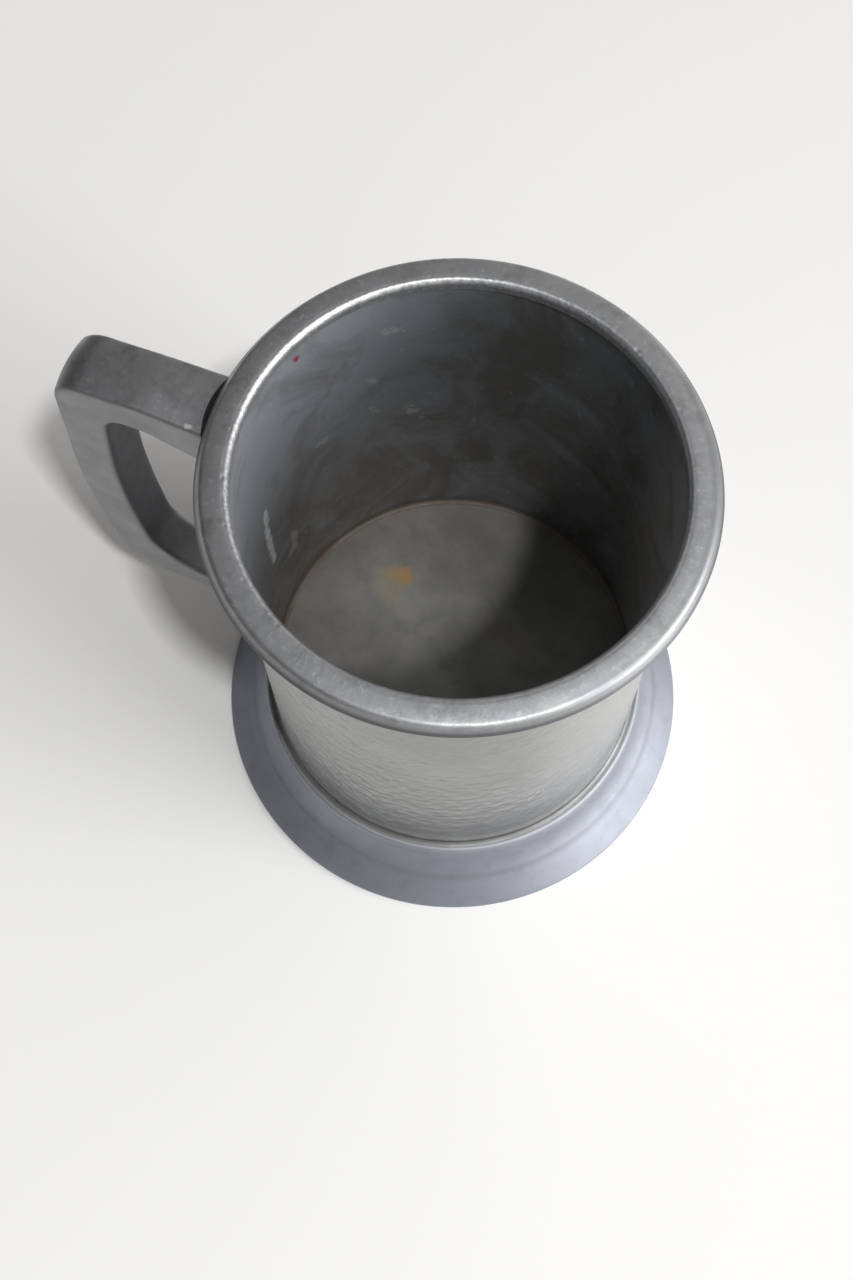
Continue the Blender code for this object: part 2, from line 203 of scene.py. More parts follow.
paint = bpy.data.materials.new("table_white")
paint.use_nodes = True
shader = paint.node_tree.nodes["Principled BSDF"]
shader.inputs["Base Color"].default_value = (*FLOOR_COLOUR, 1)
shader.inputs["Roughness"].default_value = 0.6
bpy.ops.object.select_all(action="DESELECT")
bpy.ops.mesh.primitive_plane_add(size=FLOOR_SIZE, location=(0, 0, 0))
table = bpy.context.object
table.name = "table"
table.data.materials.append(paint)

aim_lamp("window_lamp", azimuth=0, elevation=16, distance=6.0, size=4.0, power=405.0)
aim_lamp("key_lamp", azimuth=-36, elevation=64, distance=1.5, size=0.10, power=11.0)

world = bpy.data.worlds.new("room")
world.use_nodes = True
sky = world.node_tree
direction = add_node(sky, "ShaderNodeTexCoord").outputs["Generated"]
level = math_of(sky, "ADD", product_of(sky, direction, ROOM_SLOPE), ROOM_LIGHT)
feed(sky, sky.nodes["Background"].inputs["Strength"], math_of(sky, "MAXIMUM", level, ROOM_DARKEST))
feed(sky, sky.nodes["Background"].inputs["Color"], (*ROOM_COLOUR, 1))
bpy.context.scene.world = world
bpy.context.scene.view_settings.view_transform = "Standard"

# %% [markdown]
# Every piece is shaped in edit mode with the usual tools. Those tools act on what is selected, so
# small helpers come first. They start a mesh from a single point, draw it on from place to place,
# select parts of it by a test, apply a modifier, push vertices in or out, and finish a piece.

# %% Helpers for shaping
def start_point(name, place):
    """A new object in edit mode whose mesh is one vertex: a tiny plane, merged to its middle."""
    bpy.ops.object.select_all(action="DESELECT")
    bpy.ops.mesh.primitive_plane_add(size=0.001, location=place)
    piece = bpy.context.object
    piece.name = name
    bpy.ops.object.mode_set(mode="EDIT")
    bpy.ops.mesh.select_mode(type="VERT")
    bpy.ops.mesh.select_all(action="SELECT")
    bpy.ops.mesh.merge(type="CENTER")
    return piece


def extrude_along(points):
    """Extrude the selected vertex from the first point to each of the next ones."""
    for here, there in zip(points, points[1:]):
        step = Vector(there) - Vector(here)
        bpy.ops.mesh.extrude_vertices_move(TRANSFORM_OT_translate={"value": step})


def pick(piece, kind, test):
    """In edit mode, select the vertices, edges or faces that pass the test. Returns how many."""
    bpy.ops.mesh.select_mode(type=kind)
    bpy.ops.mesh.select_all(action="DESELECT")
    mesh = bmesh.from_edit_mesh(piece.data)
    parts = {"VERT": mesh.verts, "EDGE": mesh.edges, "FACE": mesh.faces}[kind]
    chosen = [part for part in parts if test(part)]
    for part in chosen:
        part.select_set(True)
    bmesh.update_edit_mesh(piece.data)
    return len(chosen)


def apply_modifier(piece, kind, **settings):
    """Add a modifier with these settings and apply it."""
    bpy.context.view_layer.objects.active = piece
    modifier = piece.modifiers.new(kind.lower(), kind)
    for name, value in settings.items():
        setattr(modifier, name, value)
    bpy.ops.object.modifier_apply(modifier=modifier.name)


def push(piece, name, strength, share_of, direction="NORMAL", texture=None, level=0.5):
    """Move each vertex by strength times its share, along its normal or along an axis.

    With a texture, its grey is what moves the vertex, and level is the grey that stays in place."""
    group = piece.vertex_groups.new(name=name)
    for vertex in piece.data.vertices:
        share = share_of(vertex.co + piece.location)
        if share > 0:
            group.add([vertex.index], min(1.0, share), "REPLACE")
    settings = {"texture": texture, "texture_coords": "LOCAL"} if texture else {}
    apply_modifier(piece, "DISPLACE", strength=strength, mid_level=level if texture else 0.0,
                   direction=direction, vertex_group=name, **settings)


def cloud_texture(name, size, depth=1):
    """Soft noise for a Displace modifier."""
    texture = bpy.data.textures.new(name, "CLOUDS")
    texture.noise_scale = size
    texture.noise_depth = depth
    return texture


def finish_piece(piece, node, material, smooth_angle):
    """Put the piece's place into its mesh, smooth it, and let it stand for its CAD node."""
    bpy.ops.object.select_all(action="DESELECT")
    piece.select_set(True)
    bpy.context.view_layer.objects.active = piece
    bpy.ops.object.transform_apply(location=True, rotation=True, scale=True)
    bpy.ops.object.shade_smooth_by_angle(angle=math.radians(smooth_angle))
    piece.data.materials.clear()
    piece.data.materials.append(material)
    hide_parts(node)
    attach(piece, "root")
    print(piece.name, "has", sum(len(face.vertices) - 2 for face in piece.data.polygons), "triangles")


# %% [markdown]
# Old pewter is a soft grey metal under a thin, uneven tarnish. A finish starts from two colours, bare
# and tarnished, and clouds that spread the second over the first. Layers are then laid over it:
# polishing lines, patches, spots and scratches, and painted shade and painted light. Everything is
# read from Object coordinates, measured from the drum's axis, so lines can run round the mug or out
# from its middle. The roughness follows the tarnish, because dull patches are rougher than rubbed ones.

# %% Start and close a finish
MOTTLE_SIZE = 0.0024
MOTTLE_DARKER = 0.76                    # the mottle's colour, as a share of the tarnish's
MOTTLE_RELIEF = 0.6
RELIEF_HEIGHT = 0.00012


def start_finish(name, bare, tarnish, roughness, cloud_size):
    """A dict with the material's tree and with the sockets that later layers change."""
    material = bpy.data.materials.new(name)
    material.use_nodes = True
    tree = material.node_tree
    place = add_node(tree, "ShaderNodeTexCoord").outputs["Object"]
    middle = add_node(tree, "ShaderNodeMapping",
                      {"Vector": place, "Location": (-AXIS_X, 0, 0)}).outputs[0]
    parts = add_node(tree, "ShaderNodeSeparateXYZ", {"Vector": middle}).outputs
    flat = add_node(tree, "ShaderNodeCombineXYZ", {"X": parts["X"], "Y": parts["Y"]}).outputs[0]
    radius = add_node(tree, "ShaderNodeVectorMath", {0: flat}, operation="LENGTH").outputs["Value"]
    outward = add_node(tree, "ShaderNodeVectorMath", {0: flat}, operation="NORMALIZE").outputs[0]
    clouds = noise_of(tree, middle, cloud_size, detail=5, roughness=0.62, distortion=0.3)
    mottle = noise_of(tree, middle, MOTTLE_SIZE, detail=3, roughness=0.6)
    colour = blend_colour(tree, spread(tree, clouds, 0.35, 0.65), bare, tarnish)
    darker = tuple(MOTTLE_DARKER * c for c in tarnish)
    colour = blend_colour(tree, spread(tree, mottle, 0.50, 0.72, 0, 0.35), colour, darker)
    return {"material": material, "tree": tree, "place": place, "middle": middle, "radius": radius,
            "outward": outward, "height": parts["Z"], "colour": colour,
            "rough": spread(tree, clouds, 0.3, 0.7, *roughness),
            "relief": math_of(tree, "MULTIPLY", mottle, MOTTLE_RELIEF)}


def both(finish, first, second):
    """1 where two masks both are 1. The second may be a plain share."""
    return math_of(finish["tree"], "MULTIPLY", first, second)


def raise_relief(finish, value, amount):
    """Add a value to the bump of a finish."""
    more = both(finish, value, amount)
    finish["relief"] = math_of(finish["tree"], "ADD", finish["relief"], more)


def tint(finish, mask, colour, share=1.0):
    """Lay a colour over the finish where the mask is 1."""
    factor = both(finish, mask, share)
    finish["colour"] = blend_colour(finish["tree"], factor, finish["colour"], colour)


def set_rough(finish, mask, value):
    """Draw the roughness towards a value where the mask is 1."""
    tree = finish["tree"]
    node = add_node(tree, "ShaderNodeMix", {0: mask, 2: finish["rough"], 3: value}, data_type="FLOAT")
    finish["rough"] = node.outputs[0]


def close_finish(finish, metallic=1.0):
    """Join the layers to the shader, and return the material."""
    tree = finish["tree"]
    bump = add_node(tree, "ShaderNodeBump",
                    {"Height": finish["relief"], "Strength": 0.5, "Distance": RELIEF_HEIGHT})
    for name, value in (("Metallic", metallic), ("Base Color", finish["colour"]),
                        ("Roughness", finish["rough"]), ("Normal", bump.outputs["Normal"])):
        feed(tree, tree.nodes["Principled BSDF"].inputs[name], value)
    return finish["material"]


print("a finish has a colour, a roughness and a relief")

# %% Layers for a finish
def round_lines(finish, size, amount):
    """Fine lines that run round the axis, as turning and polishing leave them."""
    tree = finish["tree"]
    rings = add_node(tree, "ShaderNodeCombineXYZ",
                     {"X": finish["radius"], "Z": finish["height"]}).outputs[0]
    raise_relief(finish, noise_of(tree, rings, size, detail=3, roughness=0.7), amount)


def spoke_lines(finish, size, reach):
    """Noise drawn out along the radius: size wide round the mug, and reach long."""
    tree = finish["tree"]
    ring = add_node(tree, "ShaderNodeVectorMath", {0: finish["outward"], "Scale": RIM_RADIUS},
                    operation="SCALE").outputs[0]
    along = both(finish, finish["radius"], size / reach)
    up = add_node(tree, "ShaderNodeCombineXYZ", {"Z": along}).outputs[0]
    where = add_node(tree, "ShaderNodeVectorMath", {0: ring, 1: up}, operation="ADD").outputs[0]
    return noise_of(tree, where, size, detail=3, roughness=0.7)


def patchy(finish, size, low, high, detail=3, roughness=0.6):
    """1 in the patches where noise of a size goes past high, and 0 where it is under low."""
    noise = noise_of(finish["tree"], finish["middle"], size, detail=detail, roughness=roughness)
    return spread(finish["tree"], noise, low, high)


def between(finish, measure, low, high, soft):
    """1 where the radius or the height lies between low and high, fading out over soft."""
    tree = finish["tree"]
    rise = spread(tree, finish[measure], low - soft, low)
    fall = spread(tree, finish[measure], high, high + soft, 1, 0)
    return both(finish, rise, fall)


def towards(finish, azimuth, low, high):
    """1 on the side of the mug that lies at an azimuth, in degrees, fading out round it."""
    turn = math.radians(azimuth)
    facing = product_of(finish["tree"], finish["outward"], (math.cos(turn), math.sin(turn), 0))
    return spread(finish["tree"], facing, low, high)


def smear(finish, start, end, width, ragged=0.4, soft=0.35):
    """1 on a smear between two places, with ragged edges. Places and width are in millimetres.

    Its core is half as wide as width says, and it fades out over soft times the width."""
    tree = finish["tree"]
    start, end = (Vector([v / 1000 for v in place]) for place in (start, end))
    width = width / 1000
    run = end - start
    offset = add_node(tree, "ShaderNodeVectorMath", {0: finish["place"], 1: start},
                      operation="SUBTRACT").outputs[0]
    share = spread(tree, product_of(tree, offset, run), 0, max(run.length_squared, 1e-9))
    nearest = add_node(tree, "ShaderNodeVectorMath", {0: run, "Scale": share},
                       operation="SCALE").outputs[0]
    away = add_node(tree, "ShaderNodeVectorMath", {0: offset, 1: nearest},
                    operation="DISTANCE").outputs["Value"]
    noise = noise_of(tree, finish["place"], width * 0.6, detail=3, roughness=0.6)
    bent = math_of(tree, "ADD", away, spread(tree, noise, 0.3, 0.7, -ragged * width, ragged * width))
    return spread(tree, bent, 0.25 * width, (0.25 + soft) * width, 1, 0)


print("layers: lines, patches, bands, sides and smears")

# %% The wall's finish
# Outside it is rubbed and grey. Painted light makes it palest over the foot and on the side that
# faces the window, painted shade darkens it towards the brim, and a band of painted shade, in
# patches, lies a little above the foot. Inside it is duller, brownish below and bluish above:
# painted shade darkens it low down, and painted light makes it paler under the brim. Inside there
# is also painted light under the brim on the handle's side and on the near side, and painted shade
# on the far side, with a few pale marks and one long scratch.
PALE_MARKS = [((-16.9, 29.4, 90.2), (-15.6, 30.4, 89.4), 1.3),
              ((-13.6, 32.6, 106.9), (-10.2, 35.0, 106.2), 1.2),
              ((-16.2, 30.1, 77.3), (-15.6, 30.5, 76.0), 1.8),
              ((-9.6, 35.6, 72.2), (-8.7, 36.2, 71.0), 1.8),
              ((-24.3, 18.3, 76.4), (-23.6, 19.6, 75.8), 1.6),
              ((-28.0, 5.0, 44.0), (-27.8, 6.6, 50.0), 2.4)]
RED_SPECK = ((-25.5, 15.7, 115.9), (-25.3, 15.9, 114.8), 1.4)
SCRATCH = [(-28.3, -2.4, 78.2), (-28.2, -3.4, 68.9), (-28.2, -3.1, 54.6)]
SCRATCH_WIDTH = 2.1
# Colours of painted shade and painted light, outside and inside the wall, some also brownish or bluish:
UNDER_RIM_PAINTED_SHADE, WINDOW_SIDE_PAINTED_LIGHT = (0.235, 0.235, 0.228), (0.54, 0.54, 0.53)
LOW_BAND_PAINTED_SHADE, FOOT_BAND_PAINTED_LIGHT = (0.26, 0.26, 0.255), (0.58, 0.58, 0.57)
LOW_SHADE_BROWN, HIGH_LIGHT_BLUE = (0.215, 0.198, 0.18), (0.285, 0.30, 0.325)
INSIDE_BRIM_PAINTED_LIGHT, FAR_WALL_PAINTED_SHADE, NEAR_WALL_PAINTED_LIGHT = (0.44, 0.47, 0.52), (0.13, 0.13, 0.12), (0.80, 0.77, 0.74)
CLOUD_BLUE, CLOUD_BROWN = (0.37, 0.40, 0.45), (0.17, 0.155, 0.14)
SPECK_GREY, MARK_GREY = (0.50, 0.50, 0.49), (0.56, 0.56, 0.54)
SPECK_RED, SCRATCH_PALE = (0.35, 0.04, 0.08), (0.85, 0.88, 0.92)
INSIDE_BLUR = 0.00005

finish = start_finish("hammered_pewter", (0.375, 0.375, 0.365), (0.335, 0.335, 0.325), (0.26, 0.34), 0.016)
tree = finish["tree"]
# Painted shade: darker towards the brim, under the rim.
tint(finish, spread(tree, finish["height"], 0.030, 0.090), UNDER_RIM_PAINTED_SHADE, 0.6)
# Painted light: paler on the side that faces the window.
tint(finish, towards(finish, -8, 0.72, 0.97), WINDOW_SIDE_PAINTED_LIGHT, 0.6)
# Painted shade, in patches, in a band a little above the foot.
low_band = between(finish, "height", 0.0225, 0.0300, 0.006)
tint(finish, both(finish, low_band, patchy(finish, 0.0045, 0.40, 0.56)), LOW_BAND_PAINTED_SHADE, 0.5)
# Painted light: a pale band just over the foot.
tint(finish, between(finish, "height", 0.0160, 0.0200, 0.003), FOOT_BAND_PAINTED_LIGHT, 0.7)
inside = spread(tree, finish["radius"], BORE_TEST_RADIUS - INSIDE_BLUR, BORE_TEST_RADIUS + INSIDE_BLUR, 1, 0)
# Inside: painted shade low down and painted light under the brim, brownish below and bluish above.
inside_light_rise = spread(tree, finish["height"], 0.035, 0.112)
tint(finish, inside, blend_colour(tree, inside_light_rise, LOW_SHADE_BROWN, HIGH_LIGHT_BLUE))
# Painted light inside under the brim on the handle's side.
brow = between(finish, "height", 0.085, 0.125, 0.030)
tint(finish, both(finish, both(finish, inside, brow), towards(finish, 165, 0.3, 0.9)), INSIDE_BRIM_PAINTED_LIGHT, 0.55)
# Painted shade on the far inside wall.
tint(finish, both(finish, inside, towards(finish, 75, 0.35, 0.9)), FAR_WALL_PAINTED_SHADE, 0.7)
# Painted light on the near inside wall.
tint(finish, both(finish, inside, towards(finish, -30, 0.2, 0.8)), NEAR_WALL_PAINTED_LIGHT, 0.9)
clouds = noise_of(tree, finish["middle"], 0.011, detail=6, roughness=0.68, distortion=0.8)
tint(finish, both(finish, inside, spread(tree, clouds, 0.42, 0.70)), CLOUD_BLUE, 0.6)
tint(finish, both(finish, inside, spread(tree, clouds, 0.50, 0.30)), CLOUD_BROWN, 0.55)
specks = patchy(finish, 0.0012, 0.66, 0.74, detail=2, roughness=0.5)
tint(finish, both(finish, inside, specks), SPECK_GREY, 0.35)
for start, end, width in PALE_MARKS:
    tint(finish, smear(finish, start, end, width, 0.9, 0.6), MARK_GREY, 0.5)
tint(finish, smear(finish, *RED_SPECK), SPECK_RED, 0.9)
for start, end in zip(SCRATCH, SCRATCH[1:]):
    tint(finish, smear(finish, start, end, SCRATCH_WIDTH, 0.4, 0.5), SCRATCH_PALE, 0.85)
set_rough(finish, inside, 0.58)
wall_finish = close_finish(finish, metallic=spread(tree, inside, 0, 1, 1.0, 0.78))
print("the wall has", len(PALE_MARKS), "pale marks")

# %% The floor's finish
# It is lit from above, so its stains show: rusty at the edge, and orange and brown where drops dried.
EDGE_RUST = (0.25, 0.205, 0.175)
STAINS = [((-6.2, 16.6, 22.4), (-3.6, 16.0, 22.4), 3.4, (0.48, 0.27, 0.08), 0.7),
          ((-8.0, 13.0, 22.4), (-4.0, 10.0, 22.4), 6.0, (0.36, 0.31, 0.22), 0.4),
          ((22.0, 12.0, 22.4), (27.0, 10.0, 22.4), 6.0, (0.30, 0.23, 0.15), 0.4)]

finish = start_finish("floor_pewter", (0.285, 0.28, 0.262), (0.205, 0.20, 0.19), (0.50, 0.62), 0.010)
round_lines(finish, 0.0004, 0.2)
tint(finish, spread(finish["tree"], finish["radius"], 0.0400, 0.0430), EDGE_RUST, 0.4)
for start, end, width, colour, share in STAINS:
    tint(finish, smear(finish, start, end, width, 0.5, 0.6), colour, share)
floor_finish = close_finish(finish, metallic=0.8)
print("the floor has", len(STAINS), "stains")

# %% The rim's finish
# It is blotched and pitted, with fine lines out from the middle. Painted shade dulls it where it turns
# over to its outer face on the window's side, and darkens the outer face; a painted shadow line is
# darkest at the lower edge of that face. The bevel round the mouth is worn, and made bright by wear
# and a painted highlight, mostly on the side of the handle.
BLOT_DARK, PIT_PALE, LINE_PALE = (0.31, 0.315, 0.33), (0.72, 0.73, 0.75), (0.62, 0.63, 0.65)
# Painted shade and a painted shadow line, then wear with a painted highlight:
ROUNDING_PAINTED_SHADE, OUTER_FACE_PAINTED_SHADE, EDGE_PAINTED_SHADOW = (0.27, 0.28, 0.295), (0.27, 0.275, 0.285), (0.13, 0.132, 0.14)
WEAR_AND_HIGHLIGHT_PALE = (0.80, 0.81, 0.84)

finish = start_finish("rim_pewter", (0.53, 0.54, 0.56), (0.42, 0.43, 0.45), (0.44, 0.54), 0.004)
tree = finish["tree"]
tint(finish, patchy(finish, 0.0026, 0.52, 0.64, detail=4, roughness=0.7), BLOT_DARK, 0.5)
pits = noise_of(tree, finish["middle"], 0.0008, detail=3, roughness=0.65)
tint(finish, spread(tree, pits, 0.56, 0.68), PIT_PALE, 0.4)
raise_relief(finish, pits, 0.5)
spokes = spoke_lines(finish, 0.0005, 0.006)
raise_relief(finish, spokes, 0.2)
tint(finish, spread(tree, spokes, 0.45, 0.7), LINE_PALE, 0.15)
# Painted shade where the land turns over on the window's side, dimming the highlight there.
turned_over = spread(tree, finish["radius"], 0.0465, 0.0482)
tint(finish, both(finish, turned_over, towards(finish, -5, 0.4, 0.85)), ROUNDING_PAINTED_SHADE, 0.9)
# Painted shade on the rim's outer face.
tint(finish, spread(tree, finish["radius"], 0.0484, 0.0488), OUTER_FACE_PAINTED_SHADE, 0.7)
# A painted shadow line at the outer face's lower edge.
tint(finish, spread(tree, finish["radius"], 0.0489, 0.0492), EDGE_PAINTED_SHADOW, 0.8)
# Wear and a painted highlight on the bevel, strongest on the handle's side.
wear_and_highlight = between(finish, "radius", 0.0427, 0.0435, 0.0003)
grains = noise_of(tree, finish["middle"], 0.00045, detail=3, roughness=0.6)
most = spread(tree, towards(finish, 148, -0.35, 0.35), 0, 1, 0.12, 1.0)
wear_and_highlight = both(finish, wear_and_highlight, most)
tint(finish, both(finish, wear_and_highlight, spread(tree, grains, 0.40, 0.60)), WEAR_AND_HIGHLIGHT_PALE, 0.7)
set_rough(finish, wear_and_highlight, 0.52)
raise_relief(finish, both(finish, wear_and_highlight, grains), 0.3)
rim_finish = close_finish(finish)
print("the rim's finish is ready")

# %% Finishes of the foot and of the solder
# The foot is the bluest piece and the least worn. Painted shade darkens its crease, and a painted
# highlight brightens its bead.
# Painted shade in the crease and a painted highlight on the bead:
CREASE_PAINTED_SHADE, BEAD_PAINTED_HIGHLIGHT = (0.22, 0.225, 0.24), (0.43, 0.44, 0.46)

finish = start_finish("foot_pewter", (0.335, 0.354, 0.402), (0.295, 0.31, 0.352), (0.56, 0.66), 0.02)
# Painted shade in the crease.
tint(finish, between(finish, "radius", 0.0511, 0.0516, 0.0007), CREASE_PAINTED_SHADE, 0.3)
# A painted highlight on the bead.
tint(finish, between(finish, "radius", 0.0462, 0.0468, 0.0004), BEAD_PAINTED_HIGHLIGHT, 0.5)
round_lines(finish, 0.0005, 0.2)
foot_finish = close_finish(finish)

finish = start_finish("solder_pewter", (0.28, 0.285, 0.29), (0.22, 0.22, 0.22), (0.56, 0.66), 0.006)
solder_finish = close_finish(finish)
finish = start_finish("stained_solder", (0.165, 0.148, 0.132), (0.14, 0.11, 0.09), (0.60, 0.70), 0.006)
stained_finish = close_finish(finish, metallic=0.6)
print("the foot and the solder have their finishes")

# %% The handle's finish
# The cast skin is blotched and pitted. Painted shade makes the side that faces the drum darkest, and
# the flat sides darker than the back. Two spots on the arm's front edge are rubbed bright.
CAST_BLOT, CAST_PIT = (0.22, 0.222, 0.235), (0.55, 0.555, 0.57)
# Painted shade on the inner and the flat sides, and the colour of rubbed spots:
INNER_PAINTED_SHADE, FLANK_PAINTED_SHADE, RUBBED_PALE = (0.20, 0.205, 0.22), (0.28, 0.282, 0.29), (0.75, 0.76, 0.77)
RUBBED = [((-33.2, -7.6, 116.2), (-31.2, -7.7, 116.0), 1.3),
          ((-38.5, -6.2, 116.6), (-37.9, -6.2, 116.6), 0.9)]

finish = start_finish("handle_pewter", (0.44, 0.443, 0.465), (0.27, 0.273, 0.288), (0.45, 0.60), 0.006)
tree = finish["tree"]
tint(finish, patchy(finish, 0.0028, 0.50, 0.62, detail=4, roughness=0.7), CAST_BLOT, 0.45)
pits = noise_of(tree, finish["middle"], 0.0008, detail=3, roughness=0.65)
tint(finish, spread(tree, pits, 0.57, 0.68), CAST_PIT, 0.35)
raise_relief(finish, pits, 0.5)
facing = add_node(tree, "ShaderNodeNewGeometry").outputs["Normal"]
inward = product_of(tree, facing, (1, 0, 0))
# Painted shade on the faces that look towards the drum.
tint(finish, spread(tree, inward, 0.2, 0.7), INNER_PAINTED_SHADE, 0.75)
sideways = math_of(tree, "ABSOLUTE", product_of(tree, facing, (0, 1, 0)))
# Painted shade on the handle's flat sides.
tint(finish, spread(tree, sideways, 0.4, 0.8), FLANK_PAINTED_SHADE, 0.75)
for start, end, width in RUBBED:
    tint(finish, smear(finish, start, end, width), RUBBED_PALE, 0.8)
handle_finish = close_finish(finish)
print("finishes:", [m.name for m in bpy.data.materials if m.name.endswith("_pewter")])

# %% [markdown]
# The rim, the foot, the floor and the solder fillets are turned pieces. Each one starts as a single
# vertex at the first corner of its section. The vertex is extruded from corner to corner, the last
# corner is joined to the first, and the whole section is spun round the drum's axis.

# %% Turn a section
MERGE_DISTANCE = 1e-6


def arc(centre, radii, start, end, steps=10):
    """Points of an elliptic arc in a section of (radius, height), from start to end degrees."""
    points = []
    for i in range(steps + 1):
        angle = math.radians(start + (end - start) * i / steps)
        points.append((centre[0] + radii[0] * math.cos(angle), centre[1] + radii[1] * math.sin(angle)))
    return points


def fill_in(section, spacing):
    """Split the long straight runs of a section, so that no step is longer than spacing."""
    filled = [section[0]]
    for (r0, z0), (r1, z1) in zip(section, section[1:]):
        parts = max(1, math.ceil(math.hypot(r1 - r0, z1 - z0) / spacing))
        filled += [(r0 + (r1 - r0) * i / parts, z0 + (z1 - z0) * i / parts) for i in range(1, parts + 1)]
    return filled


def turn_section(name, section, steps):
    """Spin a closed section of (radius, height) corners into a ring."""
    places = [(AXIS_X + r, 0, z) for r, z in section]
    piece = start_point(name, places[0])
    extrude_along(places)
    middle = piece.matrix_world.inverted()
    first, last = middle @ Vector(places[0]), middle @ Vector(places[-1])
    if section[0][0] > 0:
        pick(piece, "VERT", lambda v: min((v.co - first).length, (v.co - last).length) < MERGE_DISTANCE / 10)
        bpy.ops.mesh.edge_face_add()
    bpy.ops.mesh.select_all(action="SELECT")
    bpy.ops.mesh.spin(steps=steps, angle=2 * math.pi, center=(AXIS_X, 0, 0), axis=(0, 0, 1))
    bpy.ops.mesh.select_all(action="SELECT")
    bpy.ops.mesh.remove_doubles(threshold=MERGE_DISTANCE)
    bpy.ops.mesh.normals_make_consistent(inside=False)
    bpy.ops.object.mode_set(mode="OBJECT")
    return piece


print("an arc of ten steps:", len(arc((0, 0), (1, 1), 0, 90)), "points")

# %% [markdown]
# The rim is a separate ring over the drum's raw edge, and it overhangs the drum. Its top is a slightly
# crowned land that turns over a rounding into a sloping outer face. Round the mouth runs a narrow
# bevel that years of drinking and knocking have worn; its finish makes it bright with wear and a
# painted highlight. The upper edge of the bevel isn't even: it is pressed in by a fine noise, and a
# few larger nicks bite into the land.

# %% The rim
RIM_STEPS = 720
RIM_SEAT = DRUM_TOP + SEAT_GAP
RIM_SKIRT_BOTTOM = rim_low.z
RIM_SKIRT_WALL = 0.0009
RIM_LIP = 0.0004
RIM_EDGE_DROP = 0.0027                  # the rim's sharp lower edge, below its top
RIM_EDGE_RADIUS = 0.0495
RIM_EDGE_LAND = 0.0002
RIM_ROUND = 0.0016
RIM_FACE = math.radians(32)             # the outer face looks up by this much
CROWN = math.radians(9)                 # and the upper face falls by this much where it ends
CROWN_STEPS = 14
BEVEL_WIDTH = 0.0011
BEVEL_DEPTH = 0.0016
WEAR_DEPTH = 0.00011
WEAR_REACH = 0.0005                     # the wear fades out this far from the bevel's upper edge
WEAR_GRAIN = 0.0010
NICK_DEPTH = 0.00012
NICK_DROP = 0.0013                      # no nick goes further below the rim's top than this

bore = drum_radius(DRUM_TOP) - WALL - RIM_LIP
skirt = drum_radius(RIM_SKIRT_BOTTOM) + SEAT_GAP
throat = skirt + RIM_SKIRT_WALL
edge = MUG_TOP - RIM_EDGE_DROP
bevel_end = bore + BEVEL_WIDTH
round_reach = RIM_ROUND * (math.cos(RIM_FACE) - math.sin(CROWN))
round_fall = RIM_ROUND * (math.cos(CROWN) - math.sin(RIM_FACE))
slope = 1 / math.tan(RIM_FACE)
crown_fall = math.tan(CROWN) / 2
land_end = (RIM_EDGE_RADIUS - round_reach - (RIM_EDGE_DROP - RIM_EDGE_LAND - round_fall
                                             + crown_fall * bevel_end) / slope) / (1 - crown_fall / slope)
land_fall = (land_end - bevel_end) * crown_fall
round_centre = (land_end - RIM_ROUND * math.sin(CROWN), MUG_TOP - land_fall - RIM_ROUND * math.cos(CROWN))
rim_section = [(bore, RIM_SEAT)]
rim_section += arc((bevel_end, MUG_TOP - BEVEL_DEPTH), (BEVEL_WIDTH, BEVEL_DEPTH), 180, 90, steps=10)
for i in range(1, CROWN_STEPS + 1):
    share = i / CROWN_STEPS
    rim_section.append((bevel_end + (land_end - bevel_end) * share, MUG_TOP - land_fall * share ** 2))
rim_section += arc(round_centre, (RIM_ROUND, RIM_ROUND), 90 - math.degrees(CROWN), math.degrees(RIM_FACE),
                   steps=8)[1:]
rim_section += [(RIM_EDGE_RADIUS, edge + RIM_EDGE_LAND), (RIM_EDGE_RADIUS - RIM_EDGE_LAND, edge)]
rim_section += [(throat + RIM_SKIRT_WALL, edge), (throat, edge - RIM_SKIRT_WALL), (throat, RIM_SKIRT_BOTTOM)]
rim_section += [(skirt, RIM_SKIRT_BOTTOM), (skirt, RIM_SEAT)]
rim = turn_section("rim_ring", rim_section, RIM_STEPS)

# Each nick is an azimuth in degrees, a radius in millimetres and a size.
RIM_NICKS = [(69.6, 42.9, 0.7), (67.0, 44.4, 0.5), (59.3, 43.7, 0.9), (57.5, 43.3, 0.7),
             (48.0, 45.2, 0.5), (39.6, 44.1, 0.8), (27.4, 44.5, 0.6), (152.5, 45.5, 0.5),
             (163.2, 45.5, 0.5), (188.0, 43.9, 0.6), (201.0, 43.8, 0.8), (214.0, 44.0, 0.6),
             (229.0, 44.1, 0.7), (243.0, 43.8, 0.5), (118.0, 43.9, 0.6)]
NICK_SIZE = 1900                        # a nick of size 1 reaches out by 1/1900 m
nick_places = [(AXIS_X + r / 1000 * math.cos(math.radians(a)), r / 1000 * math.sin(math.radians(a)),
                size / NICK_SIZE) for a, r, size in RIM_NICKS]


def radius_of(place):
    """Distance from the drum's axis."""
    return math.hypot(place.x - AXIS_X, place.y)


def bevel_share(place):
    """1 on the bevel's upper edge, fading out on both sides of it, and 0 below the bevel."""
    if place.z < MUG_TOP - BEVEL_DEPTH * 1.05:
        return 0
    return 1 - abs(radius_of(place) - bevel_end) / WEAR_REACH


def nick_share(place):
    """A small bowl round each nick's place on the upper face."""
    if place.z < MUG_TOP - NICK_DROP:
        return 0
    return max(1 - (math.hypot(place.x - x, place.y - y) / reach) ** 2 for x, y, reach in nick_places)


push(rim, "worn_edge", -WEAR_DEPTH, bevel_share, "Z", cloud_texture("wear", WEAR_GRAIN, 2), level=0.0)
push(rim, "nicks", -NICK_DEPTH, nick_share, "Z")
finish_piece(rim, "rim_band", rim_finish, smooth_angle=50)

